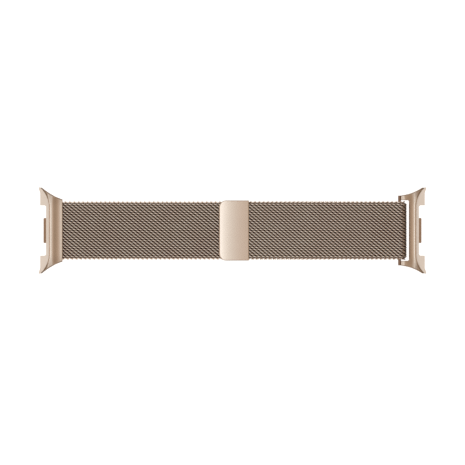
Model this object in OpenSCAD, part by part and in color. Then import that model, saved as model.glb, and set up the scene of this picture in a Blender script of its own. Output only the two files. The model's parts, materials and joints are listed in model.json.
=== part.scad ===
// Woven steel mesh watch band, lying flat and closed on its magnetic clasp.
// X runs along the band, Y across it, and +Z points away from the wrist.
// Each adapter is drawn in its own frame: a runs from the end of its ears
// (a = 0) towards the mesh, y runs across, z runs up.

/* [Band] */
// Width of the woven mesh
mesh_w = 20; // [18:0.5:20]
// Thickness of the woven mesh
mesh_t = 1.3; // [1.2:0.05:1.3]
// Half of the band's length, from its middle to the end of the ears
half_length = 65.6; // [65.6:0.1:65.8]
// Gap between two mesh layers that lie on each other
layer_gap = 0.1; // [0.06:0.01:0.14]

/* [Adapters] */
// Height of the ridge above the surface that the band lies on
ridge_z = 4.3; // [4.1:0.05:4.6]
// Top of the docking ledge
ledge_z = 2.3; // [2.3:0.05:2.4]
// Thickness of the docking ledge over the latch
ledge_t = 0.8; // [0.75:0.05:0.8]
// Underside of the ears
ear_z = 1.1; // [0.9:0.05:1.3]
// Half of the width of the cut between the ears
cut_half_w = 8.6; // [8:0.1:8.8]
// Depth of the cut between the ears
cut_depth = 2; // [1.8:0.05:2]
// Where the ledge meets the shell's wall
seam_a = 3; // [2.9:0.05:3.1]
// Radius of the wall round the watch case's corner
corner_r = 9.35; // [9.2:0.05:9.5]

/* [Release] */
// How far the latch travels
latch_travel = 0.75; // [0.6:0.05:0.75]
// How far the release button travels
button_travel = 0.5; // [0.4:0.05:0.5]
// Half of the latch's width
latch_half_w = 4.27; // [4.2:0.01:4.3]
// Sliding clearance of the latch and the button
slide_gap = 0.05; // [0.03:0.01:0.06]
// Outer diameter of a latch spring
spring_d = 0.66; // [0.6:0.02:0.7]
// Wire diameter of a latch spring
spring_wire = 0.12; // [0.1:0.01:0.14]
// Number of turns in a latch spring
spring_turns = 5; // [4:1:6]

/* [Loop] */
// Diameter of the crossbar that the mesh runs round
crossbar_d = 1; // [0.9:0.05:1]
// Inner radius of the mesh where it turns round the crossbar
fold_r = 0.75; // [0.72:0.01:0.8]

/* [Clasp] */
// Length of the clasp along the band
clasp_l = 10.14; // [10:0.02:10.2]
// Width of the clasp across the band
clasp_w = 20.5; // [20.5:0.1:21]
// Height of the clasp cover
clasp_h = 2.4; // [2.3:0.05:2.6]
// Corner radius at the clasp's free end
clasp_corner_r = 2.4; // [2:0.1:2.4]

/* [Hidden] */
$fn = 48;
eps = 0.01;
press_gap = 0.01;

// Stations along X where the mesh bends: bare ones, then those under the tail
first_bend_x = -57.6;
bare_bends = 7;
bare_pitch = 8.767;
lapped_bends = 6;
lapped_pitch = 8.4;
lapped_start_x = 6;
bend_x = [
    for (i = [0:bare_bends - 1]) first_bend_x + i * bare_pitch,
    for (i = [0:lapped_bends - 1]) lapped_start_x + i * lapped_pitch
];
link_count = len(bend_x) - 1;
tail_count = lapped_bends;
bend_gap = 0.05;
nose_gap = 0.05;
seat_back = 0.35;
bevel = mesh_t * tan(10.6);

// Mesh layers, and the turn round the crossbar
mesh_mid = mesh_t / 2;
tail_z = mesh_t + layer_gap;
tail_mid = tail_z + mesh_mid;
pin_x = 57;
pin_z = mesh_t + fold_r;
fold_x = 57.45;
fold_mid = pin_z + fold_r + mesh_mid;
slope_end_x = bend_x[link_count];
slope = (fold_mid - tail_mid) / (fold_x - slope_end_x);
slope_half_t = mesh_mid / cos(atan(slope));
lift_x = 53.5;

// Adapter plan: the tip of a wing, and the flanks as [centre a, centre y, radius]
tip_r = 0.56;
tip_a = 0.06;
tip_y = 14.3;
corner_y = 7.8;
left_end_a = 7.6;
left_flank = [15.35, 32.22, 22.98];
right_end_a = 8.25;
right_flank = [10.3, 28.9, 17.1];

// Adapter shell, seen from the side
wall_z = 3.9;
ridge_a = [3.3, 4.05];
crown_r = 62;
left_end_z = 2.2;
right_end_z = 2.75;
end_land = 1;
slope_steps = 8;
bar_pocket_a = 5.9;
bar_pocket_z = 1.62;
slot_a = 5.55;
slot_half_w = 10.35;
slot_corner_r = 0.5;
arm_z = 1.3;

// Ledge block and the release inside it
block_a = [2.15, 5.12];
block_half_w = 9.8;
cover_t = 0.4;
channel_top_z = ledge_z - ledge_t;
channel_end_a = 4.97;
latch_a = [1.1, 4.15];
latch_z = [cover_t + slide_gap, channel_top_z - slide_gap];
latch_nose_z = 0.9;
latch_corner_r = 0.35;
window_a = 2.02;
window_half_w = 2.55;
button_a = [window_a + latch_travel + slide_gap, 3.75];
button_z = [0.1, 0.85];
button_half_w = 2.1;
button_gap = 0.06;
tab_half_w = 2.45;
tab_l = 0.5;
tab_z = [0.42, 0.58];
ramp = latch_travel / button_travel;
ramp_gap = 0.1;
spring_y = 3.5;
spring_z = 0.95;
spring_a = [2.72, channel_end_a - 0.02];
spring_slot_w = 0.8;
screw_y = 6.8;
screw_a = 3.65;
screw_head_d = 1.6;
screw_head_z = [0.05, 0.3];
screw_d = 0.8;
screw_end_z = 1.25;
driver_slot = [1.3, 0.2, 0.12];

// Clasp
clasp_x = [5.58 - clasp_l, 5.58];
clasp_crown_r = 42;
clasp_wall = 0.62;
clasp_roof_z = 3.2;
clasp_base_t = 0.3;
clasp_bar_x = 3.75;
magnet_size = [6.2, 5.5, 1.1];
magnet_pitch = 6;
yoke_t = 0.24;

steel = [0.80, 0.71, 0.63];
steel_dark = [0.42, 0.30, 0.22];
mesh_steel = [0.55, 0.46, 0.39];
spring_steel = [0.75, 0.75, 0.76];
magnet_grey = [0.55, 0.56, 0.58];

sides = ["left", "right"];

// Puts a shape drawn in the adapter frame at the left or the right end
module at_end(side) {
    if (side == "left") translate([-half_length, 0, 0]) children();
    else translate([half_length, 0, 0]) mirror([1, 0, 0]) children();
}

// Repeats a shape on both sides of the band's centre line
module both_sides() {
    children();
    mirror([0, 1, 0]) children();
}

// Extrudes an outline drawn in x and z across the band
module across(w) {
    translate([0, w / 2, 0]) rotate([90, 0, 0]) linear_extrude(w) children();
}

module rounded_square(size, r) {
    for (x = [r, size[0] - r], y = [r, size[1] - r]) translate([x, y]) circle(r);
    translate([0, r]) square([size[0], size[1] - 2 * r]);
    translate([r, 0]) square([size[0] - 2 * r, size[1]]);
}

// Plan of the watch case's end, which the ledge and the shell's wall follow
module case_plan() {
    back = 6;
    translate([seam_a - corner_r - back, -corner_y]) square([corner_r + back, 2 * corner_y]);
    both_sides() translate([seam_a - corner_r, corner_y]) circle(corner_r, $fn = 96);
}

// Plan of an adapter: pointed wings with hollow flanks
module adapter_plan(end_a, flank) {
    half_w = tip_y + tip_r;
    difference() {
        translate([tip_a, -half_w]) square([end_a - tip_a, 2 * half_w]);
        both_sides() translate([flank[0], flank[1]]) circle(flank[2], $fn = 120);
    }
    both_sides() {
        translate([tip_a, tip_y]) circle(tip_r);
        polygon([[0, 12.8], [tip_a - 0.8 * tip_r, tip_y - 0.6 * tip_r], [tip_a + tip_r, tip_y], [1, 12.8]]);
    }
    translate([0, -13]) square([1, 26]);
}

// Side outline of a shell: wall, ridge, falling slope and mesh end
module shell_outline(end_a, end_z) {
    run = end_a - end_land - ridge_a[1];
    fall = ridge_z - end_z;
    polygon(concat(
        [[-1, 0], [-1, wall_z - 0.6], [seam_a, wall_z], [ridge_a[0], ridge_z - 0.1], [ridge_a[0] + 0.25, ridge_z]],
        [for (k = [0:slope_steps]) let (t = k / slope_steps)
            [ridge_a[1] + run * t, ridge_z - fall * (1 - cos(180 * t)) / 2]],
        [[end_a, end_z], [end_a, 0]]
    ));
}

// A shell with its wings, cut by the watch case, the ledge block and the cover
module adapter_shell(end_a, end_z, flank) {
    pocket_a = block_a[1] + press_gap;
    pocket_half_w = block_half_w + press_gap;
    difference() {
        intersection() {
            linear_extrude(ridge_z + 1) difference() {
                adapter_plan(end_a, flank);
                case_plan();
            }
            across(32) shell_outline(end_a, end_z);
            translate([-1, 0, ridge_z - crown_r]) rotate([0, 90, 0]) cylinder(r = crown_r, h = 12, $fn = 180);
        }
        translate([-1, -pocket_half_w, -eps]) cube([pocket_a + 1, 2 * pocket_half_w, ledge_z + eps]);
        translate([-1, -16, -eps]) cube([1 + block_a[0], 32, ear_z + eps]);
    }
}

module left_lug_shell() {
    half_w = mesh_w / 2 + press_gap;
    color(steel) at_end("left") difference() {
        adapter_shell(left_end_a, left_end_z, left_flank);
        translate([bar_pocket_a, -half_w, -eps]) cube([3, 2 * half_w, bar_pocket_z + eps]);
    }
}

module right_loop_shell() {
    slot_l = 4;
    color(steel) difference() {
        at_end("right") difference() {
            adapter_shell(right_end_a, right_end_z, right_flank);
            translate([slot_a, -slot_half_w, -eps]) linear_extrude(ridge_z + 1)
                rounded_square([slot_l, 2 * slot_half_w], slot_corner_r);
            translate([slot_a, -16, -eps]) cube([slot_l, 32, arm_z + eps]);
        }
        crossbar_cylinder(press_gap);
    }
}

module crossbar_cylinder(extra) {
    bar_l = 23.8;
    translate([pin_x, bar_l / 2 + extra, pin_z]) rotate([90, 0, 0])
        cylinder(d = crossbar_d + 2 * extra, h = bar_l + 2 * extra);
}

module right_crossbar() {
    color(steel_dark) crossbar_cylinder(0);
}

// The soldered bar that ends the mesh inside the left shell
module left_mesh_end_bar() {
    bar_a = bar_pocket_a + press_gap;
    bar_h = bar_pocket_z - press_gap;
    color(steel) difference() {
        at_end("left") translate([bar_a, -mesh_w / 2, 0]) cube([left_end_a - bar_a, mesh_w, bar_h]);
        across(mesh_w + 1) translate([first_bend_x, mesh_mid]) circle(mesh_mid + nose_gap);
    }
}

// Ledge with its two ears, and the block that holds the release
module dock_plate(side) {
    flank = side == "left" ? left_flank : right_flank;
    channel_half_w = latch_half_w + slide_gap;
    hole_r = screw_d / 2 + press_gap;
    color(steel) at_end(side) difference() {
        union() {
            translate([0, 0, ear_z]) linear_extrude(ledge_z - ear_z) intersection() {
                case_plan();
                adapter_plan(block_a[1], flank);
            }
            translate([block_a[0], -block_half_w, cover_t])
                cube([block_a[1] - block_a[0], 2 * block_half_w, ledge_z - cover_t]);
        }
        translate([-2, -cut_half_w, 0]) linear_extrude(ledge_z + 1)
            rounded_square([cut_depth + 2, 2 * cut_half_w], 0.7);
        translate([0, -channel_half_w, 0]) cube([channel_end_a, 2 * channel_half_w, channel_top_z]);
        both_sides() translate([screw_a, screw_y, 0]) cylinder(r = hole_r, h = screw_end_z + 0.05);
    }
}

// Sprung latch: bevelled tongue, ramp window and two open spring slots
module latch(side) {
    ramp_foot = button_a[1] + ramp_gap + ramp * cover_t;
    slot_l = latch_a[1] - spring_a[0] + 0.02;
    color(steel_dark) at_end(side) difference() {
        intersection() {
            across(2 * latch_half_w) polygon([
                [latch_a[0], latch_z[0]], [latch_a[1], latch_z[0]], [latch_a[1], latch_z[1]],
                [latch_a[0] + 0.85, latch_z[1]], [latch_a[0], latch_nose_z]
            ]);
            translate([latch_a[0], -latch_half_w, 0]) linear_extrude(ledge_z)
                rounded_square([latch_a[1] - latch_a[0], 2 * latch_half_w], latch_corner_r);
        }
        across(2 * window_half_w) polygon([
            [window_a, 0], [ramp_foot, 0], [ramp_foot - ramp * ledge_z, ledge_z], [window_a, ledge_z]
        ]);
        both_sides() translate([spring_a[0] - 0.02, spring_y - spring_slot_w / 2, 0])
            cube([slot_l + 1, spring_slot_w, ledge_z]);
    }
}

// Push button in the underside, whose ramp drives the latch
module release_button(side) {
    tab_a = button_a[0] + slide_gap;
    color(steel_dark) at_end(side) {
        across(2 * button_half_w) polygon([
            [button_a[0], button_z[0]], [button_a[1], button_z[0]], [button_a[1], cover_t],
            [button_a[1] - ramp * (button_z[1] - cover_t), button_z[1]], [button_a[0], button_z[1]]
        ]);
        translate([tab_a, -tab_half_w, tab_z[0]]) cube([tab_l, 2 * tab_half_w, tab_z[1] - tab_z[0]]);
    }
}

// Round wire swept along a compression spring's helix
module coil_spring(length) {
    steps = spring_turns * 10;
    ring = 6;
    helix_r = (spring_d - spring_wire) / 2;
    wire_r = spring_wire / 2;
    run = length - spring_wire;
    points = [for (i = [0:steps], k = [0:ring - 1]) let (t = 360 * spring_turns * i / steps, u = 360 * k / ring)
        [wire_r + run * i / steps + wire_r * sin(u),
         (helix_r + wire_r * cos(u)) * cos(t),
         (helix_r + wire_r * cos(u)) * sin(t)]];
    walls = [for (i = [0:steps - 1], k = [0:ring - 1]) let (n = (k + 1) % ring)
        [i * ring + k, i * ring + n, (i + 1) * ring + n, (i + 1) * ring + k]];
    polyhedron(points, concat([[for (k = [ring - 1:-1:0]) k]], walls, [[for (k = [0:ring - 1]) steps * ring + k]]));
}

module latch_springs(side) {
    color(spring_steel) at_end(side)
        for (y = [-spring_y, spring_y]) translate([spring_a[0], y, spring_z]) coil_spring(spring_a[1] - spring_a[0]);
}

module bottom_cover(side) {
    window_l = button_a[1] - button_a[0] + 2 * button_gap;
    window_w = 2 * (button_half_w + button_gap);
    color(steel) at_end(side) difference() {
        translate([block_a[0], -block_half_w, 0]) cube([block_a[1] - block_a[0], 2 * block_half_w, cover_t]);
        translate([button_a[0] - button_gap, -window_w / 2, -eps]) cube([window_l, window_w, 1]);
        both_sides() translate([screw_a, screw_y, -eps]) {
            cylinder(d = screw_head_d + 0.1, h = screw_head_z[1] + eps);
            cylinder(d = screw_d + 0.1, h = 1);
        }
    }
}

module cover_screws(side) {
    color(steel_dark) at_end(side) both_sides() translate([screw_a, screw_y, 0]) difference() {
        union() {
            translate([0, 0, screw_head_z[0]]) cylinder(d = screw_head_d, h = screw_head_z[1] - screw_head_z[0]);
            translate([0, 0, screw_head_z[0]]) cylinder(d = screw_d, h = screw_end_z - screw_head_z[0]);
        }
        translate([-driver_slot[0] / 2, -driver_slot[1] / 2, 0])
            cube([driver_slot[0], driver_slot[1], driver_slot[2] + screw_head_z[0]]);
    }
}

// Lower layer, from bend i to the next: round noses and seats where it is bare,
// bevelled ends where the tail lies on it
module mesh_link(i) {
    x0 = bend_x[i];
    x1 = bend_x[i + 1];
    nosed = i < bare_bends;
    seated = i + 1 < bare_bends;
    left = nosed ? [x0, x0] : [x0 + bend_gap + bevel, x0 + bend_gap];
    right = seated ? [x1 - seat_back, x1 - seat_back] : [x1 - bend_gap - bevel, x1 - bend_gap];
    color(mesh_steel) across(mesh_w) difference() {
        union() {
            polygon([[left[0], 0], [right[0], 0], [right[1], mesh_t], [left[1], mesh_t]]);
            if (nosed) translate([x0, mesh_mid]) circle(mesh_mid);
        }
        if (seated) translate([x1, mesh_mid]) circle(mesh_mid + nose_gap);
    }
}

function slope_mid(x) = tail_mid + slope * (x - slope_end_x);

// The turn of the mesh round the crossbar, with a stretch of both layers
module mesh_fold() {
    x0 = slope_end_x + bend_gap;
    lift = lift_x + bend_gap;
    color(mesh_steel) across(mesh_w) {
        polygon([[x0 + bevel, 0], [fold_x, 0], [fold_x, mesh_t], [x0, mesh_t]]);
        difference() {
            translate([fold_x, pin_z]) circle(fold_r + mesh_t);
            translate([fold_x, pin_z]) circle(fold_r);
            translate([fold_x - 10, -10]) square([10, 20]);
        }
        polygon([
            [fold_x, fold_mid - mesh_mid], [fold_x, fold_mid + mesh_mid],
            [lift, slope_mid(lift) + slope_half_t], [lift, slope_mid(lift) - slope_half_t]
        ]);
    }
}

// Upper layer: link 1 slopes down from the turn, the others lie on the lower layer
module tail_link(i) {
    x0 = bend_x[link_count + 1 - i] + bend_gap;
    x1 = x0 + lapped_pitch - 2 * bend_gap;
    lift = lift_x - bend_gap;
    color(mesh_steel) across(mesh_w)
        if (i == 1) polygon([
            [x0, tail_z], [lift, slope_mid(lift) - slope_half_t],
            [lift, slope_mid(lift) + slope_half_t], [x0 + bevel, slope_mid(x0 + bevel) + slope_half_t]
        ]);
        else polygon([[x0, tail_z], [x1, tail_z], [x1 - bevel, tail_z + mesh_t], [x0 + bevel, tail_z + mesh_t]]);
}

// Plan of the clasp, drawn in by an inset at its free end and its sides
module clasp_plan(inset) {
    r = clasp_corner_r - inset;
    w = clasp_w - 2 * inset;
    x0 = clasp_x[0] + inset;
    translate([x0, -w / 2]) rounded_square([6, w], r);
    translate([x0 + 3, -w / 2]) square([clasp_x[1] - x0 - 3, w]);
}

module clasp_cover() {
    bar_w = mesh_w + 2 * press_gap;
    color(steel) difference() {
        intersection() {
            translate([0, 0, tail_z]) linear_extrude(clasp_h + 1) clasp_plan(0);
            translate([(clasp_x[0] + clasp_x[1]) / 2, 20, tail_z + clasp_h - clasp_crown_r])
                rotate([90, 0, 0]) cylinder(r = clasp_crown_r, h = 40, $fn = 180);
        }
        translate([0, 0, tail_z - eps]) linear_extrude(clasp_roof_z - tail_z) intersection() {
            clasp_plan(clasp_wall);
            translate([-10, -20]) square([10 + clasp_bar_x + eps, 40]);
        }
        translate([clasp_bar_x, -bar_w / 2, 0]) cube([10, bar_w, tail_z + mesh_t + press_gap]);
    }
}

module clasp_base_plate() {
    color(steel) translate([0, 0, tail_z]) linear_extrude(clasp_base_t) intersection() {
        clasp_plan(clasp_wall + press_gap);
        translate([-10, -20]) square([10 + clasp_bar_x - press_gap, 40]);
    }
}

module clasp_magnets() {
    x0 = clasp_x[0] + clasp_wall + 0.4;
    color(magnet_grey) for (k = [-1:1])
        translate([x0, k * magnet_pitch - magnet_size[1] / 2, tail_z + clasp_base_t]) cube(magnet_size);
}

module clasp_yoke_plate() {
    x0 = clasp_x[0] + clasp_wall + 0.4;
    half_w = magnet_pitch + magnet_size[1] / 2;
    color(spring_steel) translate([x0, -half_w, tail_z + clasp_base_t + magnet_size[2]])
        cube([magnet_size[0] + 0.3, 2 * half_w, yoke_t]);
}

// The soldered bar that ends the tail inside the clasp, with the last of the mesh
module clasp_mesh_end_bar() {
    x0 = clasp_bar_x + press_gap;
    x1 = lapped_start_x - bend_gap;
    color(mesh_steel) across(mesh_w)
        polygon([[x0, tail_z], [x1, tail_z], [x1 - bevel, tail_z + mesh_t], [x0, tail_z + mesh_t]]);
}

left_lug_shell();
left_mesh_end_bar();
right_loop_shell();
right_crossbar();
for (s = sides) {
    dock_plate(s);
    latch(s);
    release_button(s);
    latch_springs(s);
    bottom_cover(s);
    cover_screws(s);
}
for (i = [1:link_count]) mesh_link(i - 1);
mesh_fold();
for (i = [1:tail_count]) tail_link(i);
clasp_mesh_end_bar();
clasp_base_plate();
clasp_magnets();
clasp_yoke_plate();
clasp_cover();
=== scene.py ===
"""The looks of a woven steel mesh watch band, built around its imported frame.

Units: sizes are written in millimetres and turned into metres by MM when a mesh is made.
X runs along the band, Y across it, +Z away from the wrist, as in the CAD model.
"""
import json
import math

import bmesh
import bpy
import numpy as np
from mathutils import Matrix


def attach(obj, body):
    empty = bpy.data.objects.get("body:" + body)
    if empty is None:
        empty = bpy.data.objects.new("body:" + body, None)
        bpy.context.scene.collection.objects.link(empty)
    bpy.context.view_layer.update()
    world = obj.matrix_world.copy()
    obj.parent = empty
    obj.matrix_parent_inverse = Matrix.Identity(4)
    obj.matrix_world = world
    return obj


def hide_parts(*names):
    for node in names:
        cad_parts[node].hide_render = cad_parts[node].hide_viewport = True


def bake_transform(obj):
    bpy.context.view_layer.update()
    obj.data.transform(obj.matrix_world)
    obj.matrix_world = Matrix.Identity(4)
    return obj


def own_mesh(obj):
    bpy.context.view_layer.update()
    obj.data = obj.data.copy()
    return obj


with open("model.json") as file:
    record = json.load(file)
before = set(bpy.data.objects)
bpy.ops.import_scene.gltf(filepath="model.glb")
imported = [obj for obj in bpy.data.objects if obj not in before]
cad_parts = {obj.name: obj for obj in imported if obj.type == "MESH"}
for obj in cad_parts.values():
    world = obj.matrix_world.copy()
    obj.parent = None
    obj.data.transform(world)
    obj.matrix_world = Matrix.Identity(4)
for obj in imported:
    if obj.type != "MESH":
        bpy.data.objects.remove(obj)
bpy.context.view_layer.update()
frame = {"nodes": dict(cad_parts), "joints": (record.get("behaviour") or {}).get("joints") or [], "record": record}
MM = 0.001

# Mesh: thickness, and the stations along X where it bends
MESH_T = 1.3
MESH_MID = MESH_T / 2
TAIL_Z = MESH_T + 0.1
TAIL_MID = TAIL_Z + MESH_MID
JOINTS = {j["name"]: j for j in frame["joints"]}
BEND_COUNT = 13
TAIL_COUNT = 6
BENDS = [JOINTS[f"mesh_flex_{i:02d}"]["pos_m"][0] / MM for i in range(1, BEND_COUNT + 1)]
LIFT_X = JOINTS["clasp_lift"]["pos_m"][0] / MM
PIN_Z = JOINTS["adapter_swing"]["pos_m"][2] / MM
FOLD_X = 57.45
FOLD_R = PIN_Z - MESH_MID

# Weave: spirals of round wire across the band, each hooked into the next, with straight wires between in painted
# shade, which block the light from below
WIRE_D = 0.44
SPIRAL_HALF_L = 0.95
SPIRAL_HALF_T = MESH_MID - WIRE_D / 2
SPIRAL_SQUARENESS = 2.4
SPIRAL_SWAY = -0.4
PITCH_X = 0.753
PITCH_X_TAIL = 0.728
PITCH_Y = 1.224
TURNS = 15.5
STEPS_PER_TURN = 12
WIRE_SIDES = 7
# The straight wires are coloured wholly in painted shade and stand in for the dark inside of the weave
SHADE_CORE_D = 0.26
SHADE_CORE_INSET = 0.5
SHADE_CORE_POINTS = 5
HAND_WOBBLE = 0.006
MESH_START_X = -58.473
TAIL_END_X = 4.5


# ---------------------------------------------------------------- materials

def node_tree(name):
    """A new material, with its node tree and its shader."""
    mat = bpy.data.materials.new(name)
    mat.use_nodes = True
    tree = mat.node_tree
    shader = tree.nodes["Principled BSDF"]
    return mat, tree, shader


GRAIN_DEPTH = 0.02
GRAIN_PER_CM = 1 / (10 * MM)
CLOUD_SCALE = 130.0


def coated_steel(name, colour, roughness, grain=(60, 60, 60), spread=0.05,
                 rough_spread=0.06, bump=0.05, painted_shade=None):
    """Metal with a thin coloured coating: fine stretched grain in roughness and bump, slow change in colour.

    The grain is given as its number of spots to a centimetre, along each axis.
    With a painted shade colour, the surface darkens to it as painted shade where the mesh's own "exposure" falls
    to 0.
    """
    mat, tree, shader = node_tree(name)
    link = tree.links.new
    shader.inputs["Metallic"].default_value = 1.0
    where = tree.nodes.new("ShaderNodeTexCoord")

    stretch = tree.nodes.new("ShaderNodeMapping")
    stretch.inputs["Scale"].default_value = [g * GRAIN_PER_CM for g in grain]
    link(where.outputs["Object"], stretch.inputs["Vector"])
    fine = tree.nodes.new("ShaderNodeTexNoise")
    fine.inputs["Scale"].default_value = 1.0
    fine.inputs["Detail"].default_value = 3.0
    link(stretch.outputs["Vector"], fine.inputs["Vector"])

    slow = tree.nodes.new("ShaderNodeTexNoise")
    slow.inputs["Scale"].default_value = CLOUD_SCALE
    slow.inputs["Detail"].default_value = 2.0
    link(where.outputs["Object"], slow.inputs["Vector"])

    tint = tree.nodes.new("ShaderNodeValToRGB")
    dark = [c * (1 - spread) for c in colour]
    light = [min(1.0, c * (1 + spread)) for c in colour]
    tint.color_ramp.elements[0].position = 0.3
    tint.color_ramp.elements[0].color = (*dark, 1)
    tint.color_ramp.elements[1].position = 0.7
    tint.color_ramp.elements[1].color = (*light, 1)
    link(slow.outputs["Fac"], tint.inputs["Fac"])
    if painted_shade is None:
        link(tint.outputs["Color"], shader.inputs["Base Color"])
    else:
        # Painted shade: the colour is mixed towards the shade colour where "exposure" is low
        exposure = tree.nodes.new("ShaderNodeAttribute")
        exposure.attribute_name = "exposure"
        painted_shade_mix = tree.nodes.new("ShaderNodeMix")
        painted_shade_mix.data_type = "RGBA"
        painted_shade_mix.inputs["A"].default_value = (*painted_shade, 1)
        link(exposure.outputs["Fac"], painted_shade_mix.inputs["Factor"])
        link(tint.outputs["Color"], painted_shade_mix.inputs["B"])
        link(painted_shade_mix.outputs["Result"], shader.inputs["Base Color"])

    rough = tree.nodes.new("ShaderNodeMapRange")
    rough.inputs["To Min"].default_value = roughness - rough_spread
    rough.inputs["To Max"].default_value = roughness + rough_spread
    link(fine.outputs["Fac"], rough.inputs["Value"])
    link(rough.outputs["Result"], shader.inputs["Roughness"])

    relief = tree.nodes.new("ShaderNodeBump")
    relief.inputs["Strength"].default_value = bump
    relief.inputs["Distance"].default_value = GRAIN_DEPTH * MM
    link(fine.outputs["Fac"], relief.inputs["Height"])
    link(relief.outputs["Normal"], shader.inputs["Normal"])
    return mat


MATERIALS = {
    # shell_steel's second colour is painted shade, in the seam beside the plate and along the wings
    "shell_steel": coated_steel("shell_steel", (0.578, 0.484, 0.404), 0.24, grain=(20, 2, 20), spread=0.02,
                                rough_spread=0.03, bump=0.015, painted_shade=(0.22, 0.155, 0.10)),
    "ledge_steel": coated_steel("ledge_steel", (0.556, 0.468, 0.392), 0.3, grain=(8, 40, 8), spread=0.02,
                                bump=0.02),
    "clasp_steel": coated_steel("clasp_steel", (0.578, 0.487, 0.407), 0.18, grain=(20, 3, 20), spread=0.015,
                                rough_spread=0.01, bump=0.002),
    # mesh_steel's near-black second colour is painted shade: between the strands, on the straight wires and round
    # the turn
    "mesh_steel": coated_steel("mesh_steel", (1.0, 0.85, 0.735), 0.18, spread=0.05, rough_spread=0.05,
                               painted_shade=(0.03, 0.008, 0.003)),
    # bar_steel's dark colour is painted shade for the crossbar, which lies low in the shaded gap beside the mesh
    "bar_steel": coated_steel("bar_steel", (0.225, 0.142, 0.098), 0.34, grain=(10, 2, 10)),
    "latch_steel": coated_steel("latch_steel", (0.41, 0.298, 0.222), 0.36, grain=(10, 2, 10)),
    "button_steel": coated_steel("button_steel", (0.42, 0.30, 0.22), 0.36, grain=(2, 10, 10)),
    "spring_steel": coated_steel("spring_steel", (0.56, 0.56, 0.58), 0.25),
    "screw_steel": coated_steel("screw_steel", (0.42, 0.34, 0.28), 0.32),
    "yoke_steel": coated_steel("yoke_steel", (0.50, 0.50, 0.52), 0.4, grain=(3, 30, 3)),
    "magnet": coated_steel("magnet", (0.58, 0.58, 0.60), 0.2),
}


# ---------------------------------------------------------------- helpers

def smooth(t):
    t = np.clip(t, 0, 1)
    return t * t * (3 - 2 * t)


def new_object(name, vertices, faces, material):
    """A smooth shaded mesh object from vertices in millimetres."""
    mesh = bpy.data.meshes.new(name)
    mesh.from_pydata((np.asarray(vertices) * MM).tolist(), [], faces)
    mesh.validate()
    mesh.polygons.foreach_set("use_smooth", [True] * len(mesh.polygons))
    mesh.materials.append(MATERIALS[material])
    obj = bpy.data.objects.new(name, mesh)
    bpy.context.collection.objects.link(obj)
    return obj


def sharpen(obj, angle):
    """Keeps the edges that turn by more than an angle in degrees crisp."""
    obj.data.set_sharp_from_angle(angle=math.radians(angle))


def set_exposure(obj, values):
    """Stores, for each vertex, how little shade is painted on it, which coated_steel reads: 0 is full painted
    shade, as down in a crevice.
    """
    exposure = obj.data.attributes.new("exposure", "FLOAT", "POINT")
    exposure.data.foreach_set("value", np.asarray(values, np.float32))


# ---------------------------------------------------------------- woven mesh

ROUTE_STEP = 0.25
ROUTE_SPARE = 2


def mesh_route():
    """Middle line of the mesh: along the lower layer, round the crossbar, back along the tail."""
    lower_x = np.arange(BENDS[0] - ROUTE_SPARE, FOLD_X, ROUTE_STEP)
    lower = np.c_[lower_x, np.full_like(lower_x, MESH_MID)]
    turn = np.radians(np.arange(-90, 90, 3))
    fold = np.c_[FOLD_X + FOLD_R * np.cos(turn), PIN_Z + FOLD_R * np.sin(turn)]
    upper_x = np.arange(FOLD_X, TAIL_END_X - ROUTE_SPARE, -ROUTE_STEP)
    rise = (PIN_Z + FOLD_R - TAIL_MID) * smooth((upper_x - BENDS[-1]) / (FOLD_X - BENDS[-1]))
    upper = np.c_[upper_x, TAIL_MID + rise]
    line = np.vstack([lower, fold, upper])
    steps = np.hypot(*np.diff(line, axis=0).T)
    return line, np.r_[0, np.cumsum(steps)]


ROUTE, ROUTE_S = mesh_route()


def route_point(s):
    """The x and z of a distance along the route."""
    return np.interp(s, ROUTE_S, ROUTE[:, 0]), np.interp(s, ROUTE_S, ROUTE[:, 1])


def route_s(x, upper):
    """Distance along the route at which a layer passes x."""
    far_end = int(np.argmax(ROUTE[:, 0]))
    part = slice(far_end, None) if upper else slice(0, far_end + 1)
    xs, ss = ROUTE[part, 0], ROUTE_S[part]
    order = np.argsort(xs)
    return float(np.interp(x, xs[order], ss[order]))


def wire_tube(line, out, radius, sides):
    """A round wire along a line, closed by a small dome at each end, as rings of vertices one after another.

    The ring's first vertex lies on the side that out points to.
    """
    tangent = np.gradient(line, axis=0)
    tangent /= np.linalg.norm(tangent, axis=1)[:, None]
    out = out - (out * tangent).sum(1)[:, None] * tangent
    out /= np.linalg.norm(out, axis=1)[:, None]
    side = np.cross(tangent, out)
    dome = np.array([(-0.95, 0.3), (-0.6, 0.8)])
    first = line[0] + tangent[0] * radius * dome[:, :1]
    last = line[-1] - tangent[-1] * radius * dome[::-1, :1]
    centres = np.vstack([first, line, last])
    radii = radius * np.r_[dome[:, 1], np.ones(len(line)), dome[::-1, 1]]
    of_line = np.clip(np.arange(len(centres)) - len(dome), 0, len(line) - 1)
    angle = 2 * math.pi * np.arange(sides) / sides
    ring = (np.cos(angle)[None, :, None] * out[of_line][:, None]
            + np.sin(angle)[None, :, None] * side[of_line][:, None])
    return (centres[:, None] + radii[:, None, None] * ring).reshape(-1, 3)


def wire_faces(vertex_count, sides, base=0):
    """Quads along a wire made by wire_tube, and the two small faces that close it."""
    count = vertex_count // sides
    i, k = np.meshgrid(np.arange(count - 1), np.arange(sides), indexing="ij")
    n = (k + 1) % sides
    here, ahead = i * sides, (i + 1) * sides
    quads = np.stack([here + k, ahead + k, ahead + n, here + n], -1).reshape(-1, 4)
    ends = [list(range(sides)), [(count - 1) * sides + k for k in reversed(range(sides))]]
    return quads + base, [[v + base for v in end] for end in ends]


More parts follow.
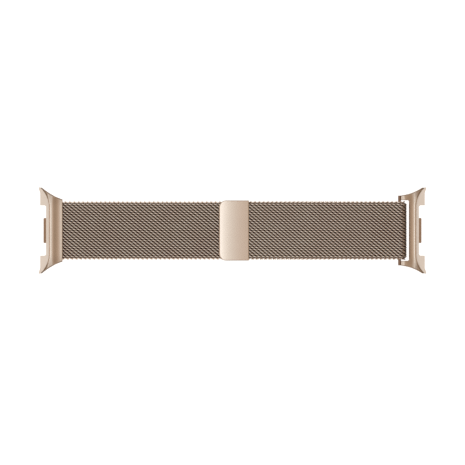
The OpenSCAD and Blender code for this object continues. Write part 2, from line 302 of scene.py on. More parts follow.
def spiral_and_shade_core():
    """One spiral about the Y axis and the straight wire beside it, which is coloured as painted shade.

    Gives the vertices as (along, across, up), the quads along the wires and the faces that close their ends.
    """
    def round_box(c):
        return np.sign(c) * np.abs(c) ** (2 / SPIRAL_SQUARENESS)

    angle = 2 * math.pi * np.arange(int(TURNS * STEPS_PER_TURN) + 1) / STEPS_PER_TURN
    line = np.c_[
        SPIRAL_HALF_L * round_box(np.cos(angle)),
        PITCH_Y / (2 * math.pi) * (angle + SPIRAL_SWAY * np.sin(2 * angle) / 2),
        SPIRAL_HALF_T * round_box(np.sin(angle)),
    ]
    spiral = wire_tube(line, line * (1, 0, 1), WIRE_D / 2, WIRE_SIDES)
    across = np.linspace(line[0, 1] + SHADE_CORE_INSET, line[-1, 1] - SHADE_CORE_INSET, SHADE_CORE_POINTS)
    straight = np.c_[np.full(SHADE_CORE_POINTS, PITCH_X / 2), across, np.zeros(SHADE_CORE_POINTS)]
    shade_core = wire_tube(straight, np.tile((0.0, 0.0, 1.0), (SHADE_CORE_POINTS, 1)), SHADE_CORE_D / 2, WIRE_SIDES)
    quads, caps = wire_faces(len(spiral), WIRE_SIDES)
    shade_core_quads, shade_core_caps = wire_faces(len(shade_core), WIRE_SIDES, len(spiral))
    return np.vstack([spiral, shade_core]), np.vstack([quads, shade_core_quads]), caps + shade_core_caps


TUBE, TUBE_QUADS, TUBE_CAPS = spiral_and_shade_core()
TUBE_RINGS = len(TUBE) // WIRE_SIDES
WEAVE_W = TUBE[:, 1].max() - TUBE[:, 1].min() + PITCH_Y / 2
# How little shade is painted on each point of the wire: 1 on the two faces of the mesh, 0 (full painted shade)
# down between the strands
CREVICE_Z = 0.52
CREVICE_FADE = 0.12
TUBE_EXPOSURE = smooth((abs(TUBE[:, 2]) - CREVICE_Z) / CREVICE_FADE)
# The hooks at the band's two edges, open to the side, get less painted shade, and the turn of the mesh gets more,
# as it lies in the loop's shade
SELVEDGE_Y = 9.0
SELVEDGE_FADE = 0.6
SELVEDGE_EXPOSURE = 0.7
TURN_SHADE = 0.4
TURN_SHADE_FROM = 0.4
TURN_SHADE_FADE = 1.2


def weave_exposure(x, y):
    """How little shade is painted on each point of one spiral and its straight wire, where they lie at x and y."""
    at_edge = smooth((abs(y) - SELVEDGE_Y) / SELVEDGE_FADE)
    in_turn = smooth((x - FOLD_X - TURN_SHADE_FROM) / TURN_SHADE_FADE)
    return np.maximum(TUBE_EXPOSURE, SELVEDGE_EXPOSURE * at_edge) * (1 - TURN_SHADE * in_turn)


def spiral_stations():
    """Where each spiral's axis lies along the route, evenly on each layer."""
    lower_end = route_s(BENDS[-1], True)
    s = route_s(MESH_START_X, False)
    end = route_s(TAIL_END_X, True)
    stations = []
    while s < end:
        stations.append(s)
        s += PITCH_X if s < lower_end else PITCH_X_TAIL
    return stations


SPIRALS = spiral_stations()
FIRST_SEED = 1000
SLOPE_REACH = 0.05


def weave_piece(name, s_from, s_to):
    """The spirals whose axes lie between two places on the route, as one mesh."""
    chosen = [(i, s) for i, s in enumerate(SPIRALS) if s_from <= s < s_to]
    vertices, quads, caps, exposures = [], [], [], []
    for i, s in chosen:
        wobble = np.random.default_rng(FIRST_SEED + i).normal(0, HAND_WOBBLE, 3)
        shift = PITCH_Y / 2 if i % 2 else 0.0
        x, z = route_point(s + TUBE[:, 0] + wobble[0])
        ahead_x, ahead_z = route_point(s + TUBE[:, 0] + SLOPE_REACH)
        behind_x, behind_z = route_point(s + TUBE[:, 0] - SLOPE_REACH)
        tx, tz = ahead_x - behind_x, ahead_z - behind_z
        length = np.hypot(tx, tz)
        up = TUBE[:, 2]
        y = TUBE[:, 1] - TUBE[:, 1].min() - WEAVE_W / 2 + shift + wobble[1]
        base = len(vertices) * len(TUBE)
        vertices.append(np.c_[x - up * tz / length, y, z + up * tx / length])
        exposures.append(weave_exposure(x, y))
        quads.append(TUBE_QUADS + base)
        caps += [[v + base for v in cap] for cap in TUBE_CAPS]
    faces = np.vstack(quads).tolist() + caps
    obj = new_object(name, np.vstack(vertices), faces, "mesh_steel")
    add_wire_uv(obj, len(chosen))
    set_exposure(obj, np.concatenate(exposures))
    return obj


UV_END = 0.002
UV_GAP = 0.06


def add_wire_uv(obj, spirals):
    """Each spiral is one strip of the map: along the wire one way, round it the other."""
    mesh = obj.data
    layer = mesh.uv_layers.new(name="OFBake")
    loops = np.empty(len(mesh.loops), int)
    mesh.loops.foreach_get("vertex_index", loops)
    per = len(TUBE)
    strip, local = loops // per, loops % per
    ring, k = local // WIRE_SIDES, local % WIRE_SIDES
    quad_loops = spirals * len(TUBE_QUADS) * 4
    corner = np.arange(len(loops)) % 4
    seam = (np.arange(len(loops)) < quad_loops) & (corner >= 2) & (k == 0)
    across = np.where(seam, WIRE_SIDES, k)
    u = UV_END + (1 - 2 * UV_END) * ring / (TUBE_RINGS - 1)
    v = (strip + UV_GAP + (1 - 2 * UV_GAP) * across / WIRE_SIDES) / spirals
    layer.data.foreach_set("uv", np.c_[u, v].ravel().astype(np.float32))


def middle(a, b):
    return (a + b) / 2


# Where the lower layer ends and the fold begins, and how far past the lift hinge the fold reaches
LOWER_END_X = 52.6
LIFT_MARGIN = 3


def build_lower_mesh():
    """One piece over each bend of the lower layer, from mid link to mid link."""
    edges = [MESH_START_X - 1] + [middle(a, b) for a, b in zip(BENDS, BENDS[1:])] + [LOWER_END_X]
    for i, x in enumerate(BENDS):
        piece = weave_piece(f"woven_mesh_{i + 1}", route_s(edges[i], False), route_s(edges[i + 1], False))
        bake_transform(piece)
        if i + 1 < BEND_COUNT:
            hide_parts(f"mesh_link_{i + 1}")


def build_fold():
    """The turn round the crossbar, which stays rigid."""
    piece = weave_piece("woven_mesh_fold", route_s(LOWER_END_X, False), route_s(LIFT_X + LIFT_MARGIN, True))
    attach(piece, "mesh_fold")
    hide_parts("mesh_fold")


def build_tail():
    """The tail over its lift hinge, and over each bend that it shares with the lower layer."""
    stations = [LIFT_X] + BENDS[:-TAIL_COUNT - 1:-1]
    edges = [LIFT_X + LIFT_MARGIN] + [middle(a, b) for a, b in zip(stations, stations[1:])] + [0]
    for i, x in enumerate(stations):
        piece = weave_piece(f"woven_tail_{i + 1}", route_s(edges[i], True), route_s(edges[i + 1], True))
        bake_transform(piece)
        if i < TAIL_COUNT:
            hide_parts(f"tail_link_{i + 1}")


build_lower_mesh()
build_fold()
build_tail()


# ---------------------------------------------------------------- adapter shells

# Adapter frame: a runs from the end of the ears towards the mesh, y across, z up
EARS_X = 65.6
SEAM_A = 3.0
CORNER_R = 9.35
CORNER_Y = 7.8
LEDGE_Z = 2.3
EAR_Z = 1.1
RIDGE_Z = 4.3
BLOCK_A = 5.14
BLOCK_Y = 9.82
# Each wing's hollow flank: its centre along a and y, and its radius; and the shell's end between the wings
FLANKS = {"left": (15.35, 32.22, 22.98), "right": (10.3, 28.9, 17.1)}
END_A = {"left": 7.6, "right": 8.2}
# How steeply each shell falls on its way from the ridge to the mesh
FALL = {
    "left": [(3.5, 0.0), (3.8, 0.01), (4.1, 0.12), (4.45, 0.5), (4.8, 0.86), (5.15, 0.85),
             (5.5, 0.7), (6.0, 0.45), (6.5, 0.2), (6.8, 0.06), (9.0, 0.03)],
    "right": [(3.35, 0.0), (3.55, 0.03), (3.65, 0.2), (3.85, 0.26), (4.2, 0.45), (4.5, 0.68),
              (4.85, 0.88), (5.15, 0.82), (5.5, 0.85), (5.9, 0.74), (6.2, 0.6), (6.6, 0.42),
              (6.95, 0.24), (7.1, 0.03), (9.0, 0.0)],
}
WING_TIP_Y = 14.62
# The pocket for the mesh end bar: its wall, half of its width and its roof
BAR_POCKET_A = 5.9
BAR_POCKET_Y = 10.02
BAR_POCKET_Z = 1.63
SLOT_A = 5.4
SLOT_Y = 10.35
SLOT_R = 0.5
ARM_Z = 1.3
# How the crest dips towards the case
DIP = 0.8
DIP_A = 3.4
# How it leans down outwards: in a bow from LEAN_Y, straight on from WING_Y, and less towards the mesh
LEAN_Y = 8.0
LEAN_R = 16
WING_Y = 12.5
WING_SLOPE = 0.28
LEAN_A = 6.4
LEAN_FADE = 2.5
# Where the underside leaves the flat, seen from the ears, and over what length it rises to them
UNDERSIDE_A = 1.5
UNDERSIDE_RISE = 1.6
# How dark the painted shade is in the seam beside the plate and out along the wings
SEAM_Y = 9.5
SEAM_Y_FADE = 3
SEAM_FROM = 0.1
SEAM_FADE = 0.9
WING_SHADE = 0.25
WING_SHADE_Y = 7.5
WING_SHADE_FADE = 3.5
# Widths of the eased edges: at the case, at the flank, at the slot, at the shell's end and along the arms
CASE_EDGE = 0.34
FLANK_EDGE = 0.3
SLOT_EDGE = 0.12
END_EDGE = 0.22
ARM_EDGE = 0.16
NO_EDGE = 1e9
# Points of each slice: from the case to the slot, from there to the end, and along the underside.
# The left shell has no slot, and changes over at a place of its own.
LEFT_SPLIT_A = 6.2
NEAR_POINTS = 26
FAR_POINTS = 18
UNDER_POINTS = 10
# The small step that closes an end down to the underside
FOOT = 0.05

FALL_A = np.linspace(3.0, 9.0, 301)
FALL_DROP = {side: np.cumsum(np.interp(FALL_A, *zip(*steps))) * (FALL_A[1] - FALL_A[0])
             for side, steps in FALL.items()}


def edge_drop(distance, radius):
    """How far a rounded edge lies below the flat surface, at a distance in from the edge."""
    t = np.clip(distance / radius, 0, 1)
    return radius * (1 - np.sqrt(1 - (1 - t) ** 2))


def slanted_drop(distance, width):
    """How far a slanted edge lies below the flat surface: 42 degrees at the rim, flat beyond its width."""
    t = np.clip(distance / width, 0, 1)
    return 0.6 * width * (1 - t) ** 1.5


def inner_a(y):
    """Where the shell's wall meets the watch case."""
    past = max(0.0, abs(y) - CORNER_Y)
    return SEAM_A - CORNER_R + math.sqrt(CORNER_R ** 2 - past ** 2)


def flank_a(side, y):
    """Where a wing's hollow flank lies, or the shell's end nearer the middle."""
    ca, cy, r = FLANKS[side]
    reach = cy - abs(y)
    if reach >= r:
        return END_A[side]
    return min(END_A[side], ca - math.sqrt(r * r - reach * reach))


def slot_a(y):
    """The slot's wall on the docking side, with its corner rounded."""
    past = abs(y) - (SLOT_Y - SLOT_R)
    if past <= 0:
        return SLOT_A
    return SLOT_A + SLOT_R - math.sqrt(max(0.0, SLOT_R ** 2 - past ** 2))


def crest(side, a, y):
    """Height of the shell's upper surface."""
    dip = DIP * smooth((SEAM_A - a) / DIP_A)
    fall = np.interp(a, FALL_A, FALL_DROP[side])
    bow = min(max(0.0, abs(y) - LEAN_Y), WING_Y - LEAN_Y)
    lean = bow ** 2 / (2 * LEAN_R) + WING_SLOPE * max(0.0, abs(y) - WING_Y)
    top = RIDGE_Z - dip - fall - lean * np.clip((LEAN_A - a) / LEAN_FADE, 0, 1)
    ca, cy, r = FLANKS[side]
    from_flank = np.maximum(0.0, np.hypot(a - ca, abs(y) - cy) - r)
    return top - slanted_drop(from_flank, FLANK_EDGE)


def seam_exposure(a, y):
    """Painted shade: the shell is a little darker out along its wings, and most of all in the seam beside the
    plate.
    """
    from_case = a - inner_a(y)
    in_seam = smooth((abs(y) - SEAM_Y) / SEAM_Y_FADE) * (1 - smooth((from_case - SEAM_FROM) / SEAM_FADE))
    return 1 - max(in_seam, WING_SHADE * smooth((abs(y) - WING_SHADE_Y) / WING_SHADE_FADE))


def underside(a):
    """Height of the underside, which rises from the flat to the ears."""
    return EAR_Z * (1 - smooth((np.asarray(a, float) - UNDERSIDE_A) / UNDERSIDE_RISE))


def shell_rows(side):
    """Places across the shell where it is sliced, closer together where its outline turns."""
    ca, cy, r = FLANKS[side]
    corner = cy - math.sqrt(r ** 2 - (END_A[side] - ca) ** 2)
    ends = [BLOCK_Y - 0.005, BLOCK_Y + 0.005, corner]
    if side == "left":
        ends += [BAR_POCKET_Y - 0.005, BAR_POCKET_Y + 0.005]
    else:
        ends += [SLOT_Y - 0.004, SLOT_Y + 0.004]
        ends += [SLOT_Y - SLOT_R + SLOT_R * math.sin(math.radians(t)) for t in (0, 15, 30, 45, 60, 72, 82)]
        ends += [SLOT_Y + 0.004 + d for d in (0.02, 0.05, 0.09, 0.14, 0.2)]
        ends += [corner - d for d in (0.02, 0.06, 0.12, 0.2)]
    half = np.unique(np.round(np.r_[np.linspace(0, 10.3, 26), np.linspace(10.5, 13.9, 26),
                                    np.linspace(13.95, WING_TIP_Y, 12), ends], 5))
    half = half[half <= WING_TIP_Y]
    return np.r_[-half[:0:-1], half]


def shell_slice(side, y):
    """Outline of the shell cut across at y, as a closed list of (a, z) with a fixed number of points."""
    in_a, out_a = inner_a(y), flank_a(side, y)
    in_slot = side == "right" and abs(y) < SLOT_Y
    split = slot_a(y) if side == "right" else LEFT_SPLIT_A
    if side == "right" and not in_slot:
        split = SLOT_A + SLOT_R
    split = min(split, out_a)
    if in_slot:
        out_a = split
    ease = 0.5 - 0.5 * np.cos(np.linspace(0, math.pi, NEAR_POINTS))
    cols = np.r_[in_a + (split - in_a) * ease,
                 split + (out_a - split) * (1 - (1 - np.linspace(0, 1, FAR_POINTS)[1:]) ** 2)]
    top = crest(side, cols, y) - slanted_drop(cols - in_a, CASE_EDGE)
    if in_slot:
        top -= slanted_drop(out_a - cols, SLOT_EDGE)
    else:
        if side == "right":
            on_arm = cols > SLOT_A + SLOT_R - 0.01
            top -= edge_drop(np.where(on_arm, abs(y) - SLOT_Y, NO_EDGE), ARM_EDGE)
        if out_a >= END_A[side] - 1e-6:
            top -= edge_drop(out_a - cols, END_EDGE)
    points = [(a, z) for a, z in zip(cols, top)]

    # The outer end, down to the underside
    last_z = top[-1]
    if side == "left" and abs(y) < BAR_POCKET_Y:
        points += [(out_a, BAR_POCKET_Z), (BAR_POCKET_A, BAR_POCKET_Z), (BAR_POCKET_A, 0.0)]
        floor_from = BAR_POCKET_A
    elif side == "left":
        low = float(underside(out_a))
        half_way = min(last_z, BAR_POCKET_Z) * 0.6 + low * 0.4
        points += [(out_a, half_way), (out_a, low + FOOT), (out_a - FOOT, low)]
        floor_from = out_a - FOOT
    elif in_slot:
        points += [(out_a, ARM_Z), (out_a, 0.6), (out_a, 0.0)]
        floor_from = out_a
    elif out_a > SLOT_A:
        points += [(out_a, ARM_Z), (SLOT_A, ARM_Z), (SLOT_A, 0.0)]
        floor_from = SLOT_A
    else:
        low = float(underside(out_a))
        points += [(out_a, last_z * 0.6 + low * 0.4), (out_a, low + FOOT), (out_a - FOOT, low)]
        floor_from = out_a - FOOT

    # The underside, and the wall at the case
    inner_low = BLOCK_A if abs(y) < BLOCK_Y else in_a
    floor = np.linspace(floor_from, inner_low, UNDER_POINTS)[1:]
    points += [(a, float(underside(a))) for a in floor]
    if abs(y) < BLOCK_Y:
        points += [(BLOCK_A, LEDGE_Z + 0.01), (in_a, LEDGE_Z + 0.01)]
    else:
        low = float(underside(in_a))
        points += [(in_a, low + (top[0] - low) * 0.3), (in_a, low + (top[0] - low) * 0.6)]
    return points


def build_shell(side, name, node):
    """An adapter's metal body, as slices joined across the band."""
    rows = shell_rows(side)
    slices = [shell_slice(side, y) for y in rows]
    per = len(slices[0])
    toward = 1 if side == "left" else -1
    vertices = [(toward * (a - EARS_X), y, z) for y, outline in zip(rows, slices) for a, z in outline]
    faces = []
    for i in range(len(rows) - 1):
        for k in range(per):
            n = (k + 1) % per
            quad = [i * per + k, (i + 1) * per + k, (i + 1) * per + n, i * per + n]
            faces.append(quad if toward > 0 else quad[::-1])
    first, last = list(range(per)), list(range((len(rows) - 1) * per, len(rows) * per))
    faces += [first, last[::-1]] if toward > 0 else [first[::-1], last]
    obj = new_object(name, vertices, faces, "shell_steel")
    # Painted shade in the seam beside the plate and along the wings
    set_exposure(obj, [seam_exposure(a, y) for y, outline in zip(rows, slices) for a, z in outline])
    weld(obj, 0.002)
    sharpen(obj, 38)
    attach(obj, f"{side}_adapter")
    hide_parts(node)


def weld(obj, reach):
    """Joins points that coincide, and turns every face outward."""
    bm = bmesh.new()
    bm.from_mesh(obj.data)
    bmesh.ops.remove_doubles(bm, verts=bm.verts, dist=reach * MM)
    bmesh.ops.dissolve_degenerate(bm, edges=bm.edges, dist=reach * MM / 2)
    bmesh.ops.recalc_face_normals(bm, faces=bm.faces)
    bm.to_mesh(obj.data)
    bm.free()


build_shell("left", "left_shell", "left_lug_shell")
build_shell("right", "right_shell", "right_loop_shell")


# ---------------------------------------------------------------- clasp cover

CLASP_X = (-4.56, 5.58)
CLASP_Y = 10.25
CLASP_CORNER = 2.4
CLASP_BOTTOM = TAIL_Z + 0.02
CLASP_TOP = TAIL_Z + 2.4
CLASP_CROWN = 42.0
CLASP_APEX = -1.2
CLASP_BEVEL = 0.22
CLASP_ROOF_Z = 3.15
CLASP_WALL = 0.5
RIM_EASE = 0.04
RIM_RISE = 0.05
# The middle of the top, which its rings shrink to, and how much round it is crowned with it
SPINE_X = (-1.5, 2.8)
SPINE_Y = 7.5
SPINE_SPARE = 0.1
SPINE_Z = 3.55
# Edges of the top that are cut up so that they can follow the crown
TOP_Z = 3.3
LONG_EDGE = 1.2
# The gap in the wall that the tail runs in through
TAIL_GAP_Y = 10.03
TAIL_GAP_Z = TAIL_Z + MESH_T + 0.03
# The bar inside that the tail's end is soldered to
SOLDER_BAR_X = (3.8, 5.2)
SOLDER_BAR_Y = 9.95
SOLDER_BAR_Z = (TAIL_Z + 0.02, TAIL_Z + MESH_T - 0.02)
SOLDER_BAR_R = 0.25


def clasp_outline():
    """Plan of the clasp from the middle of its right side, anticlockwise, with rounded left corners."""
    right, left = CLASP_X[1], CLASP_X[0]
    arc = np.radians(np.linspace(0, 90, 16))
    side_y = np.linspace(0, CLASP_Y, 14)
    points = [(right, y) for y in side_y]
    points += [(x, CLASP_Y) for x in np.linspace(right, left + CLASP_CORNER, 14)[1:]]
    points += [(left + CLASP_CORNER * (1 - math.sin(t)), CLASP_Y - CLASP_CORNER * (1 - math.cos(t)))
               for t in arc[1:]]
    points += [(left, y) for y in np.linspace(CLASP_Y - CLASP_CORNER, 0, 12)[1:]]
    upper = np.array(points)
    lower = upper[-2:0:-1] * (1, -1)
    return np.vstack([upper, lower])


def inset(outline, distance):
    """The outline moved inwards along its normals, with the same number of points."""
    ahead = np.roll(outline, -1, 0) - outline
    behind = outline - np.roll(outline, 1, 0)
    ahead /= np.linalg.norm(ahead, axis=1)[:, None]
    behind /= np.linalg.norm(behind, axis=1)[:, None]
    n1 = np.c_[-ahead[:, 1], ahead[:, 0]]
    n2 = np.c_[-behind[:, 1], behind[:, 0]]
    mitre = n1 + n2
    mitre /= (1 + (n1 * n2).sum(1))[:, None]
    return outline + mitre * distance


def crown(x):
    """Height of the clasp's crowned top."""
    return CLASP_TOP - (x - CLASP_APEX) ** 2 / (2 * CLASP_CROWN)


def build_clasp():
    """The cover: bevelled edges, a crowned top, and a hollow underside that is open to the tail."""
    outline = clasp_outline()
    at_tail = (outline[:, 0] > CLASP_X[1] - 1e-6) & (abs(outline[:, 1]) < TAIL_GAP_Y)
    low = np.where(at_tail, TAIL_GAP_Z, CLASP_BOTTOM)
    rings = []
    inner = inset(outline, CLASP_WALL)
    rings.append(np.c_[inner, np.full(len(inner), CLASP_ROOF_Z)])
    rings.append(np.c_[inner, low])
    rings.append(np.c_[inset(outline, RIM_EASE), low])
    rings.append(np.c_[outline, low + RIM_RISE])
    rim = crown(outline[:, 0]) - slanted_drop(0, CLASP_BEVEL)
    rings.append(np.c_[outline, (low + rim) / 2])
    for t in np.linspace(0, 1, 6):
        ring = inset(outline, CLASP_BEVEL * t)
        rings.append(np.c_[ring, crown(ring[:, 0]) - slanted_drop(CLASP_BEVEL * t, CLASP_BEVEL)])
    edge = inset(outline, CLASP_BEVEL)
    spine = np.c_[np.clip(edge[:, 0], *SPINE_X), np.clip(edge[:, 1], -SPINE_Y, SPINE_Y)]
    for t in (0.06, 0.15, 0.3, 0.5, 0.75, 1.0):
        ring = edge + (spine - edge) * t
        rings.append(np.c_[ring, crown(ring[:, 0])])
    count = len(outline)
    vertices = np.vstack(rings)
    faces = []
    for i in range(len(rings) - 1):
        for k in range(count):
            n = (k + 1) % count
            faces.append([i * count + k, i * count + n, (i + 1) * count + n, (i + 1) * count + k])
    obj = new_object("clasp_shell", vertices, faces, "clasp_steel")
    close_top_and_roof(obj)
    sharpen(obj, 50)
    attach(obj, "clasp")
    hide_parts("clasp_cover")


def close_top_and_roof(obj):
    """Welds the rings, fills the top's middle and the roof's inside, and crowns the top's middle."""
    bm = bmesh.new()
    bm.from_mesh(obj.data)
    bmesh.ops.remove_doubles(bm, verts=bm.verts, dist=0.001 * MM)
    edges = [e for e in bm.edges if e.is_boundary]
    bmesh.ops.holes_fill(bm, edges=edges, sides=0)
    bmesh.ops.recalc_face_normals(bm, faces=bm.faces)
    big = [f for f in bm.faces if len(f.verts) > 6]
    bmesh.ops.triangulate(bm, faces=big)
    long_edges = [e for e in bm.edges
                  if e.calc_length() > LONG_EDGE * MM and min(v.co.z for v in e.verts) > TOP_Z * MM]
    bmesh.ops.subdivide_edges(bm, edges=long_edges, cuts=6, use_grid_fill=True)
    left, right = SPINE_X[0] - SPINE_SPARE, SPINE_X[1] + SPINE_SPARE
    for v in bm.verts:
        x, y, z = v.co / MM
        if z > SPINE_Z and abs(y) < SPINE_Y + SPINE_SPARE and left < x < right:
            v.co.z = crown(x) * MM
    bm.to_mesh(obj.data)
    bm.free()
    obj.data.polygons.foreach_set("use_smooth", [True] * len(obj.data.polygons))


def rounded_bar(name, x_range, z_range, half_y, radius, material):
    """A bar across the band with rounded edges and ends."""
    arc = np.radians(np.linspace(0, 90, 5))
    corners = []
    for turn, (x, z) in enumerate(((1, 1), (0, 1), (0, 0), (1, 0))):
        cx = x_range[x] + (radius if x == 0 else -radius)
        cz = z_range[z] + (radius if z == 0 else -radius)
        corners += [(cx, cz, math.cos(t + turn * math.pi / 2), math.sin(t + turn * math.pi / 2)) for t in arc]
    ring = np.array(corners)
    stations = [(-half_y + radius * (1 - math.sin(t)), math.cos(t)) for t in arc[::-1]]
    stations += [(y, 1.0) for y in np.linspace(-half_y + radius, half_y - radius, 9)[1:-1]]
    stations += [(half_y - radius * (1 - math.sin(t)), math.cos(t)) for t in arc]
    vertices = []
    for y, swell in stations:
        reach = radius * swell
        vertices += [(cx + dx * reach, y, cz + dz * reach) for cx, cz, dx, dz in ring]
    count = len(ring)
    faces = [list(range(count)), list(range((len(stations) - 1) * count, len(stations) * count))[::-1]]
    for i in range(len(stations) - 1):
        for k in range(count):
            n = (k + 1) % count
            faces.append([i * count + k, (i + 1) * count + k, (i + 1) * count + n, i * count + n])
    obj = new_object(name, vertices, faces, material)
    weld(obj, 0.001)
    sharpen(obj, 50)
    return obj


build_clasp()
# With no exposure attribute, mesh_steel paints this bar wholly in its painted shade colour
solder_bar = rounded_bar("clasp_solder_bar", SOLDER_BAR_X, SOLDER_BAR_Z, SOLDER_BAR_Y, SOLDER_BAR_R,
                         "mesh_steel")
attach(solder_bar, "clasp")
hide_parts("clasp_mesh_end_bar")


# ---------------------------------------------------------------- latch springs

SPRING_A = (2.74, 4.93)
SPRING_Y = 3.5
SPRING_Z = 0.95
SPRING_R = 0.275
SPRING_WIRE_R = 0.05
SPRING_TURNS = 11
SPRING_STEPS = 20
SPRING_SIDES = 8


def build_springs(side):
    """Both compression springs behind a latch."""
    turn = np.linspace(0, SPRING_TURNS, SPRING_TURNS * SPRING_STEPS + 1)
    closed = SPRING_WIRE_R * 2.1
    along = np.interp(turn, [0, 1, SPRING_TURNS - 1, SPRING_TURNS],
                      [SPRING_A[0], SPRING_A[0] + closed, SPRING_A[1] - closed, SPRING_A[1]])
    coil = np.c_[np.zeros(len(turn)), np.cos(2 * math.pi * turn), np.sin(2 * math.pi * turn)]
    wire = wire_tube(SPRING_R * coil + along[:, None] * (1, 0, 0), coil, SPRING_WIRE_R, SPRING_SIDES)
    toward = 1 if side == "left" else -1
    vertices, faces = [], []
    for y in (-SPRING_Y, SPRING_Y):
        quads, caps = wire_faces(len(wire), SPRING_SIDES, len(vertices) * len(wire))
        vertices.append(np.c_[toward * (wire[:, 0] - EARS_X), wire[:, 1] + y, wire[:, 2] + SPRING_Z])
        faces += quads.tolist() + caps
    obj = new_object(f"{side}_springs", np.vstack(vertices), faces, "spring_steel")
    weld(obj, 0.0005)
    sharpen(obj, 60)
    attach(obj, f"{side}_adapter")
    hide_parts(f"{side}_latch_springs")
    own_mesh(obj)


build_springs("left")
build_springs("right")


# ---------------------------------------------------------------- CAD nodes that stay

SLOT_OF = {s["node"]: s["material_slot"] for s in frame["record"]["subparts"]}
EDGE_WIDTH = {"dock_plate": 0.13, "latch": 0.05, "bottom_cover": 0.05, "release_button": 0.06,
              "cover_screws": 0.04, "crossbar": 0.08, "clasp_magnets": 0.12}


def ease_edges(obj, width):
    """Rounds the edges of a CAD node with modifiers, which leave its mesh unchanged."""
    join = obj.modifiers.new("join", "WELD")
    join.merge_threshold = 0.001 * MM
    bevel = obj.modifiers.new("ease", "BEVEL")
    bevel.width = width * MM
    bevel.segments = 3
    bevel.limit_method = "ANGLE"
    bevel.angle_limit = math.radians(40)


for node, obj in frame["nodes"].items():
    obj.data.materials.clear()
    obj.data.materials.append(MATERIALS[SLOT_OF[node]])
    for part, width in EDGE_WIDTH.items():
        if node.endswith(part):
            ease_edges(obj, width)


# ---------------------------------------------------------------- stage, light, camera

FLOOR_W = 60.0
FLOOR_Z = -90 * MM
FLOOR_GLOW = 0.85


def pale_floor():
    """The floor lies low enough for the band to hang down over it when it curls as if worn."""
    bpy.ops.mesh.primitive_plane_add(size=FLOOR_W, location=(0, 0, FLOOR_Z))
    floor = bpy.context.object
    floor.name = "floor"
    mat, _, shader = node_tree("floor_white")
    shader.inputs["Base Color"].default_value = (0.4, 0.4, 0.4, 1)
    shader.inputs["Roughness"].default_value = 0.9
    shader.inputs["Specular IOR Level"].default_value = 0.1
    shader.inputs["Emission Color"].default_value = (1, 1, 1, 1)
    shader.inputs["Emission Strength"].default_value = FLOOR_GLOW
    floor.data.materials.append(mat)


# The sky's light, by how far a direction leans along the band, across it and up: each has its own share
SKY_ALONG = [
    (-1.00, (0.60, 0.47, 0.37)),
    (-0.75, (0.64, 0.53, 0.43)),
    (-0.50, (0.78, 0.69, 0.61)),
    (-0.34, (0.95, 0.90, 0.86)),
    (-0.24, (1.20, 1.20, 1.20)),
    (-0.19, (1.75, 1.90, 2.05)),
    (-0.13, (1.52, 1.60, 1.68)),
    (-0.066, (1.14, 1.16, 1.18)),
    (0.00, (1.00, 1.00, 1.00)),
    (0.07, (0.90, 0.88, 0.86)),
    (0.15, (0.82, 0.76, 0.72)),
    (0.30, (0.75, 0.67, 0.61)),
    (0.60, (0.66, 0.56, 0.48)),
    (0.85, (0.58, 0.47, 0.38)),
    (1.00, (0.54, 0.43, 0.34)),
]
WHITE = (1.0, 1.0, 1.0)
SKY_ACROSS = [(0.0, WHITE), (0.3, WHITE), (0.65, (0.53, 0.48, 0.44)), (1.0, (0.32, 0.25, 0.20))]
SKY_UP = [(0.0, WHITE), (0.03, WHITE), (0.08, (0.8,) * 3), (0.35, (0.9,) * 3), (0.8, WHITE), (1.0, WHITE)]
SKY_LEVEL = 1.25
HORIZON = -0.004


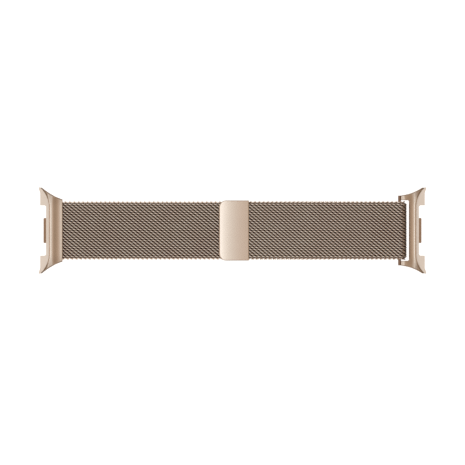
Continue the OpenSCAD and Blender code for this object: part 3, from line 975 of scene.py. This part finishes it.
def sky():
    """Soft studio light all round, brightest in a band overhead and dimmer and warmer towards the sides."""
    world = bpy.data.worlds.new("studio")
    bpy.context.scene.world = world
    world.use_nodes = True
    tree = world.node_tree
    link = tree.links.new
    where = tree.nodes.new("ShaderNodeTexCoord")
    lean = tree.nodes.new("ShaderNodeSeparateXYZ")
    link(where.outputs["Generated"], lean.inputs["Vector"])
    along = tree.nodes.new("ShaderNodeMapRange")
    along.inputs["From Min"].default_value = -1.0
    link(lean.outputs["X"], along.inputs["Value"])
    across = tree.nodes.new("ShaderNodeMath")
    across.operation = "ABSOLUTE"
    link(lean.outputs["Y"], across.inputs[0])
    light = sky_ramp(tree, along.outputs["Result"], [((x + 1) / 2, colour) for x, colour in SKY_ALONG])
    for source, stops in ((across.outputs["Value"], SKY_ACROSS), (lean.outputs["Z"], SKY_UP)):
        share = sky_ramp(tree, source, stops)
        mix = tree.nodes.new("ShaderNodeMix")
        mix.data_type = "RGBA"
        mix.blend_type = "MULTIPLY"
        mix.inputs["Factor"].default_value = 1.0
        link(light, mix.inputs["A"])
        link(share, mix.inputs["B"])
        light = mix.outputs["Result"]
    # Below the horizon there is only the floor's own white
    below = tree.nodes.new("ShaderNodeMath")
    below.operation = "LESS_THAN"
    below.inputs[1].default_value = HORIZON
    link(lean.outputs["Z"], below.inputs[0])
    ground = tree.nodes.new("ShaderNodeMix")
    ground.data_type = "RGBA"
    ground.inputs["B"].default_value = (1, 1, 1, 1)
    link(below.outputs["Value"], ground.inputs["Factor"])
    link(light, ground.inputs["A"])
    link(ground.outputs["Result"], tree.nodes["Background"].inputs["Color"])
    tree.nodes["Background"].inputs["Strength"].default_value = SKY_LEVEL


def sky_ramp(tree, source, stops):
    """A colour ramp with these stops, driven by source."""
    node = tree.nodes.new("ShaderNodeValToRGB")
    elements = node.color_ramp.elements
    while len(elements) < len(stops):
        elements.new(0.5)
    for element, (place, colour) in zip(elements, stops):
        element.position = place
        element.color = (*colour, 1)
    tree.links.new(source, node.inputs["Fac"])
    return node.outputs["Color"]


def studio():
    """The light, shown without a film look."""
    bpy.context.scene.view_settings.view_transform = "Standard"
    sky()


FRAME_W = 158.7 * MM
CAMERA_DISTANCE = 3.0
AIM_Y = -0.68 * MM
AIM_Z = 1.5 * MM


def camera():
    """Straight above the band, far off, so that the view is nearly parallel."""
    cam = bpy.data.cameras.new("camera")
    cam.sensor_width = 36
    cam.lens = cam.sensor_width * CAMERA_DISTANCE / FRAME_W
    cam.clip_start, cam.clip_end = 0.1, 30
    obj = bpy.data.objects.new("camera", cam)
    bpy.context.collection.objects.link(obj)
    obj.location = (0, AIM_Y, AIM_Z + CAMERA_DISTANCE)
    obj.rotation_euler = (0, 0, 0)
    bpy.context.scene.camera = obj


pale_floor()
studio()
camera()
